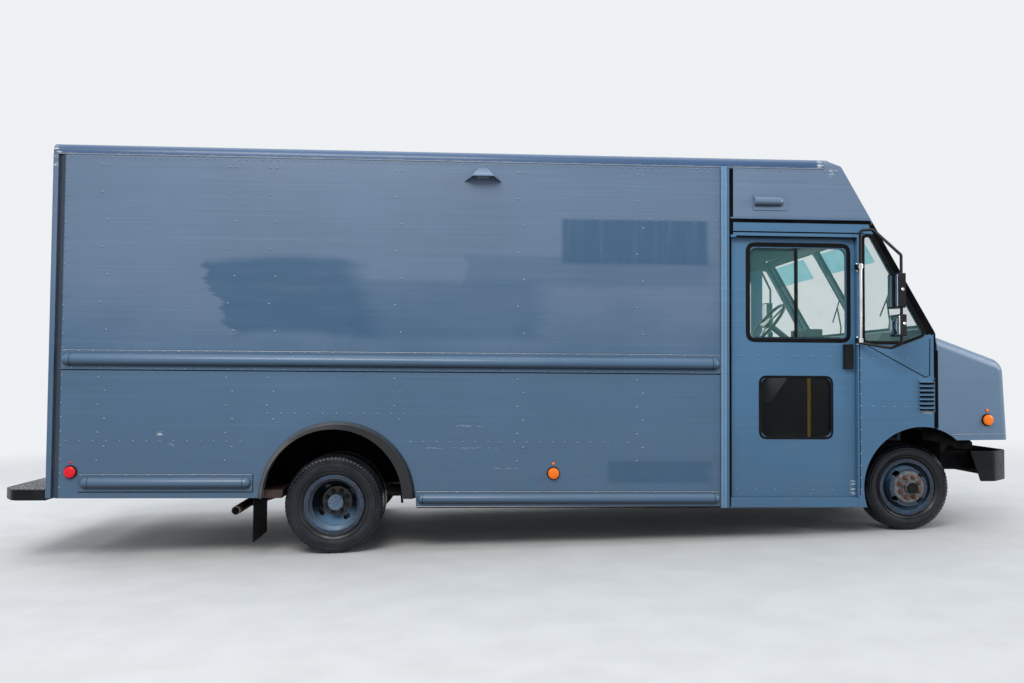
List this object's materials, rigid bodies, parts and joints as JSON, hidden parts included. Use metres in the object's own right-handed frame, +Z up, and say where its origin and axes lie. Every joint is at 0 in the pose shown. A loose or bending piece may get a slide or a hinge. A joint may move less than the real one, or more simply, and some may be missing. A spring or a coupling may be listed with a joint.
{
  "type": "walk-in step van, the base of a food truck",
  "caption": "Box-bodied walk-in step van with sliding cab doors, raked flat windshield, short sloping hood, rolled side rails and twin rear wheels.",
  "frame": {"origin": "on the road, under the middle of the overall box", "axes": "+X forward, +Y to the left, +Z up"},
  "size_m": [7.7776, 3.08, 3.1338],
  "materials": {
    "body_blue": "weathered gloss paint",
    "rail_blue": "weathered satin paint",
    "roof_paint": "weathered satin paint",
    "chassis_black": "dusty matt paint",
    "spring_steel": "dusty matt paint with rust",
    "engine_iron": "dusty",
    "exhaust_steel": "dull with rust",
    "floor_steel": "worn matt paint",
    "wheelhouse_black": "dusty matt paint",
    "flare_black": "satin dark blue-grey paint",
    "glass": "clear tinted",
    "trim_grey": "grained",
    "bulkhead_grey": "satin paint",
    "bumper_black": "satin paint",
    "rubber": "dusty",
    "wheel_black": "smooth",
    "seat_vinyl": "grained vinyl",
    "rail_yellow": "gloss paint",
    "mirror_black": "satin paint",
    "amber_lens": "ribbed lens",
    "red_lens": "ribbed lens",
    "grille_black": "satin paint",
    "lamp_glass": "clear fluted",
    "rim_blue": "worn gloss paint",
    "tyre": "dusty rubber"
  },
  "bodies": {
    "chassis": {"frame_rails": "chassis_black", "leaf_springs": "spring_steel", "rear_axle": "chassis_black", "front_axle": "chassis_black", "drive_shaft": "spring_steel", "engine_block": "engine_iron", "fuel_tank": "chassis_black", "exhaust_pipe": "exhaust_steel", "cargo_floor": "floor_steel", "wheelhouses": "wheelhouse_black", "right_side_wall": "body_blue", "left_side_wall": "body_blue", "wheel_flares": "flare_black", "side_rails": "body_blue", "roof_panel": "roof_paint", "roof_rails": "rail_blue", "rear_frame": "body_blue", "rear_roll_door": "body_blue", "door_frames": "body_blue", "front_cap": "body_blue", "windshield_frame": "body_blue", "firewall": "body_blue", "cab_sides": "body_blue", "cab_glass": "glass", "cab_floor": "floor_steel", "engine_cover": "trim_grey", "cab_bulkhead": "bulkhead_grey", "front_bumper": "bumper_black", "rear_step_bumper": "bumper_black", "mud_flaps": "rubber", "dashboard": "trim_grey", "steering_wheel": "wheel_black", "driver_seat": "seat_vinyl", "grab_rails": "rail_yellow", "mirrors": "mirror_black", "side_lamps": "amber_lens", "tail_lamps": "red_lens", "door_tracks": "spring_steel"},
    "hood": {"hood": "body_blue", "grille": "grille_black", "headlamps": "lamp_glass"},
    "right_door": {"right_door": "body_blue", "right_door_glass": "glass"},
    "left_door": {"left_door": "body_blue", "left_door_glass": "glass"},
    "right_knuckle": {"right_knuckle": "chassis_black"},
    "left_knuckle": {"left_knuckle": "chassis_black"},
    "tie_rod": {"tie_rod": "spring_steel"},
    "front_right_wheel": {"front_right_rim": "rim_blue", "front_right_tyre": "tyre"},
    "front_left_wheel": {"front_left_rim": "rim_blue", "front_left_tyre": "tyre"},
    "rear_right_wheel": {"rear_right_rim": "rim_blue", "rear_right_tyre": "tyre"},
    "rear_left_wheel": {"rear_left_rim": "rim_blue", "rear_left_tyre": "tyre"}
  },
  "joints": [
    {"name": "rear_right_wheel_spin", "type": "hinge", "parent": "chassis", "child": "rear_right_wheel", "pos_m": [-1.44133, -0.945, 0.366], "axis": [0, 1, 0], "continuous": true},
    {"name": "rear_left_wheel_spin", "type": "hinge", "parent": "chassis", "child": "rear_left_wheel", "pos_m": [-1.44133, 0.945, 0.366], "axis": [0, 1, 0], "continuous": true},
    {"name": "right_steer", "type": "hinge", "parent": "chassis", "child": "right_knuckle", "pos_m": [3.07567, -0.735, 0.344], "axis": [0, 0, 1], "range_deg": [-32, 32]},
    {"name": "front_right_wheel_spin", "type": "hinge", "parent": "right_knuckle", "child": "front_right_wheel", "pos_m": [3.07567, -0.88, 0.344], "axis": [0, 1, 0], "continuous": true},
    {"name": "left_steer", "type": "hinge", "parent": "chassis", "child": "left_knuckle", "pos_m": [3.07567, 0.735, 0.344], "axis": [0, 0, 1], "range_deg": [-32, 32]},
    {"name": "front_left_wheel_spin", "type": "hinge", "parent": "left_knuckle", "child": "front_left_wheel", "pos_m": [3.07567, 0.88, 0.344], "axis": [0, 1, 0], "continuous": true},
    {"name": "tie_rod_pivot", "type": "hinge", "parent": "right_knuckle", "child": "tie_rod", "pos_m": [2.89567, -0.735, 0.236], "axis": [0, 0, 1], "range_deg": [-32, 32]},
    {"name": "right_door_slide", "type": "slide", "parent": "chassis", "child": "right_door", "axis": [-0.9996, 0, 0.0288], "range_m": [0, 0.76]},
    {"name": "left_door_slide", "type": "slide", "parent": "chassis", "child": "left_door", "axis": [-0.9996, 0, 0.0288], "range_m": [0, 0.76]},
    {"name": "hood_tilt", "type": "hinge", "parent": "chassis", "child": "hood", "pos_m": [3.78243, 0, 0.7499], "axis": [0, 1, 0], "range_deg": [0, 55]}
  ],
  "couplings": [
    {"joint": "left_steer", "follows": "right_steer", "ratio": 1},
    {"joint": "tie_rod_pivot", "follows": "right_steer", "ratio": -1}
  ]
}
